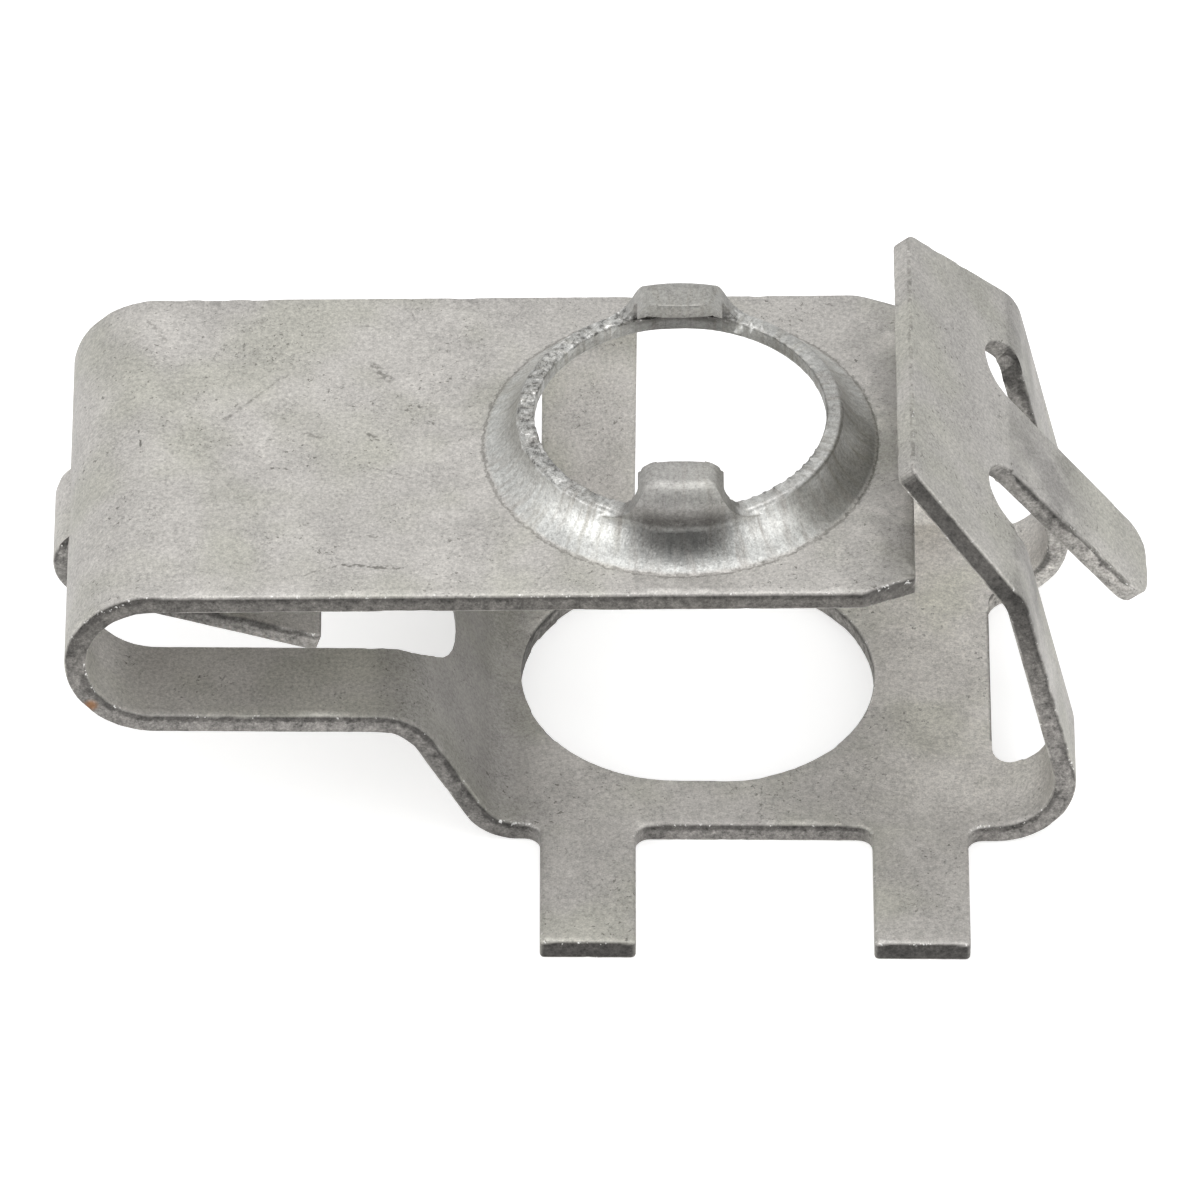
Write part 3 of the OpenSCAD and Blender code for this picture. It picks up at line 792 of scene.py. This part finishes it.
def collar_zinc(groups):
    """The drawn collar: burnished on its flank, with painted shade on its sides and under the ears, and torn
    at its end.
    """
    made, tree, place, grain, colour, roughness = started("collar_zinc", groups)
    collar = placed(tree, drawn_collar(), Place=place)
    silver = math_of(tree, "MULTIPLY", collar["Flank"], between(tree, collar["Streaks"], 0.25, 0.6))
    colour = mixed(tree, silver, colour, BURNISHED)
    # Painted shade on the flank's sides and under the ears
    colour = mixed(tree, math_of(tree, "MULTIPLY", collar["ShadedSides"], 0.22), colour, DIRT_AND_SHADE)
    colour = mixed(tree, collar["ShadeUnderEars"], colour, SHEARED_AND_SHADE)
    colour = mixed(tree, math_of(tree, "MULTIPLY", collar["Torn"], 0.35), colour, SHEARED_PALE_AND_LIT)
    colour = mixed(tree, math_of(tree, "MULTIPLY", collar["Pits"], 0.7), colour, SHEARED_DARK_AND_SHADE)
    colour = mixed(tree, math_of(tree, "MULTIPLY", collar["Foot"], 0.5), colour, DIRT_AND_SHADE)
    # Bare steel in the torn rim, with painted glints
    colour = mixed(tree, math_of(tree, "MULTIPLY", collar["Bits"], 0.8), colour, BARE_STEEL_AND_GLINT)
    metallic = blended(tree, collar["Flank"], METAL, METAL_BURNISHED)
    roughness = blended(tree, silver, roughness, ROUGH_BURNISHED)
    roughness = blended(tree, collar["Bits"], roughness, ROUGH_BURR)
    streaks = math_of(tree, "MULTIPLY", collar["Flank"], collar["Streaks"])
    height = math_of(tree, "MULTIPLY_ADD", streaks, 0.6, grain["Height"])
    ended(tree, groups, place, grain, colour, metallic, roughness, height)
    return made


def sheared_zinc(groups):
    """The faces and edges that were sheared through: torn, with dark lines along some edges, bare steel and
    painted glints on the burrs, and a spot of rust.
    """
    made, tree, place, grain, colour, roughness = started("sheared_zinc", groups)
    cut = attribute(tree, "cut_face")
    shear = placed(tree, sheared_face(), Place=place, Edge=attribute(tree, "edge"),
                   Upper=attribute(tree, "upper"))
    colour = mixed(tree, cut, colour, shear["Colour"])
    edge_darkening = along_lines(tree, groups["line"], place, DARK_EDGE_LINES)
    edge_darkening = math_of(tree, "MULTIPLY", edge_darkening, between(tree, shear["Blotches"], 0.3, 0.6))
    colour = mixed(tree, edge_darkening, colour, DIRT_AND_SHADE)
    # Bare steel and painted glints along the listed burrs and the rounded edges
    burr_glints = math_of(tree, "MULTIPLY", along_lines(tree, groups["line"], place, BURR_GLINTS), shear["Grains"])
    burr_glints = math_of(tree, "MAXIMUM", burr_glints, shear["BurrGlint"])
    colour = mixed(tree, burr_glints, colour, BARE_STEEL_AND_GLINT)
    away = vector_of(tree, "DISTANCE", place, RUST_SPOT, out="Value")
    colour = mixed(tree, math_of(tree, "MULTIPLY", between(tree, away, 0.45, 0.12), 0.8), colour, RUST)
    roughness = blended(tree, cut, roughness, ROUGH_SHEARED)
    roughness = blended(tree, burr_glints, roughness, ROUGH_BURR)
    height = blended(tree, cut, grain["Height"], shear["Height"])
    ended(tree, groups, place, grain, colour, METAL, roughness, height)
    return made


def finishes():
    """The finishes of the flats, the collar and the sheared faces, which share their groups."""
    groups = {"grain": zinc_grain(), "strip": tone_and_painted_light_along_strip(), "line": scratch_line()}
    return flat_zinc(groups), collar_zinc(groups), sheared_zinc(groups)


# Stage, light and camera

VIEW_AIM = Vector((-3.64, -5.61, -6.19)) * MM
VIEW_DISTANCE = 762.7 * MM
VIEW_AZIMUTH = 0.458
VIEW_ELEVATION = 42.34
VIEW_ROLL = 0.628
LENS = 499.3
SENSOR = 36
NEAREST = 0.01
FARTHEST = 20

# The floor's grey, its glow, what the camera sees beyond that, and half its width
FLOOR_GREY = (0.85, 0.85, 0.85, 1)
FLOOR_GLOW = 0.1
FLOOR_GLOW_SEEN = 0.4
FLOOR_HALF = 3.0

# The studio's brightness as light and where it is seen
WHITE = (1, 1, 1, 1)
STUDIO_SOFT = 0.65
STUDIO_SEEN = 0.9

# The dark card's grey, half width, nearest and farthest reach in front, height and lift from the floor
CARD_GREY = (0.03, 0.03, 0.03, 1)
CARD_SIDE = 0.3
CARD_NEAR = -0.08
CARD_FRONT = -0.6
CARD_HIGH = 1.6
CARD_LIFT = 0.5 * MM


def add_camera():
    """The camera at the photograph's viewing angle."""
    a, e = math.radians(VIEW_AZIMUTH), math.radians(VIEW_ELEVATION)
    ahead = Vector((math.sin(a) * math.cos(e), math.cos(a) * math.cos(e), -math.sin(e)))
    data = bpy.data.cameras.new("camera")
    data.lens = LENS
    data.sensor_width = SENSOR
    data.clip_start = NEAREST
    data.clip_end = FARTHEST
    camera = bpy.data.objects.new("camera", data)
    bpy.context.scene.collection.objects.link(camera)
    turn = ahead.to_track_quat("-Z", "Y").to_matrix().to_4x4()
    roll = Matrix.Rotation(math.radians(VIEW_ROLL), 4, "Z")
    camera.matrix_world = Matrix.Translation(VIEW_AIM - VIEW_DISTANCE * ahead) @ turn @ roll
    bpy.context.scene.camera = camera


def sees_background(tree):
    """1 for the rays that show the background: from the camera, and by reflection or through glass."""
    path = node(tree, "ShaderNodeLightPath").outputs
    straight = math_of(tree, "MAXIMUM", path["Is Camera Ray"], path["Is Glossy Ray"])
    return math_of(tree, "MAXIMUM", straight, path["Is Transmission Ray"])


def add_floor():
    """A plain pale floor that keeps a faint shadow."""
    made, tree = new_material("pale_floor")
    seen = sees_background(tree)
    lit = node(tree, "ShaderNodeBsdfDiffuse", {"Color": FLOOR_GREY})
    direct = node(tree, "ShaderNodeLightPath").outputs["Is Camera Ray"]
    level = math_of(tree, "MULTIPLY_ADD", direct, FLOOR_GLOW_SEEN, FLOOR_GLOW)
    glow = node(tree, "ShaderNodeEmission", {"Color": WHITE, "Strength": level})
    both = node(tree, "ShaderNodeAddShader", {0: lit.outputs[0], 1: glow.outputs[0]})
    pick = node(tree, "ShaderNodeMixShader", {0: seen, 1: lit.outputs[0], 2: both.outputs[0]})
    node(tree, "ShaderNodeOutputMaterial", {"Surface": pick.outputs[0]})
    mesh = bpy.data.meshes.new("floor")
    half, z = FLOOR_HALF, cad_box[0][2]
    corners = [(-half, -half, z), (half, -half, z), (half, half, z), (-half, half, z)]
    mesh.from_pydata(corners, [], [(0, 1, 2, 3)])
    mesh.materials.append(made)
    floor = bpy.data.objects.new("floor", mesh)
    bpy.context.scene.collection.objects.link(floor)


def add_world():
    """A pale studio all round, near white where it is seen and softer as light."""
    world = bpy.data.worlds.new("studio")
    bpy.context.scene.world = world
    world.use_nodes = True
    tree = world.node_tree
    tree.nodes.clear()
    seen = sees_background(tree)
    soft = node(tree, "ShaderNodeBackground", {"Color": WHITE, "Strength": STUDIO_SOFT})
    white = node(tree, "ShaderNodeBackground", {"Color": WHITE, "Strength": STUDIO_SEEN})
    pick = node(tree, "ShaderNodeMixShader", {0: seen, 1: soft.outputs[0], 2: white.outputs[0]})
    node(tree, "ShaderNodeOutputWorld", {"Surface": pick.outputs[0]})


def add_softbox(name, place, wide, high, watts):
    """An area lamp that faces the object."""
    data = bpy.data.lights.new(name, "AREA")
    data.shape = "RECTANGLE"
    data.size = wide
    data.size_y = high
    data.energy = watts
    lamp = bpy.data.objects.new(name, data)
    bpy.context.scene.collection.objects.link(lamp)
    lamp.location = place
    lamp.rotation_mode = "QUATERNION"
    lamp.rotation_quaternion = (-Vector(place)).to_track_quat("-Z", "Y")
    return lamp


def add_lamps():
    """Soft studio light: overhead, from both sides, and low from the front."""
    add_softbox("overhead", (0.0, 0.10, 0.7), 0.5, 0.5, 1.3)
    add_softbox("left_side", (-0.50, -0.30, 0.25), 0.35, 0.35, 0.7)
    add_softbox("right_side", (0.50, -0.30, 0.25), 0.35, 0.35, 0.45)
    front = add_softbox("front", (0.0, -0.7, 0.05), 0.6, 0.12, 6.0)
    front.visible_glossy = False


def add_dark_card():
    """A dark card, upright in front and along the floor, that only reflections show."""
    made, tree = new_material("dark_card")
    matt = node(tree, "ShaderNodeBsdfDiffuse", {"Color": CARD_GREY})
    node(tree, "ShaderNodeOutputMaterial", {"Surface": matt.outputs[0]})
    mesh = bpy.data.meshes.new("dark_card")
    side, near, front, high = CARD_SIDE, CARD_NEAR, CARD_FRONT, CARD_HIGH
    low = cad_box[0][2] + CARD_LIFT
    mesh.from_pydata([(-side, near, low), (side, near, low), (side, front, low), (-side, front, low),
                      (side, front, high), (-side, front, high)], [], [(0, 1, 2, 3), (3, 2, 4, 5)])
    mesh.materials.append(made)
    card = bpy.data.objects.new("dark_card", mesh)
    bpy.context.scene.collection.objects.link(card)
    card.visible_camera = False
    card.visible_diffuse = False
    card.visible_transmission = False
    card.visible_shadow = False


def set_view():
    """Plain colours, as they are written."""
    bpy.context.scene.view_settings.view_transform = "Standard"


set_view()
build_retainer(finishes())
add_floor()
add_world()
add_lamps()
add_dark_card()
add_camera()
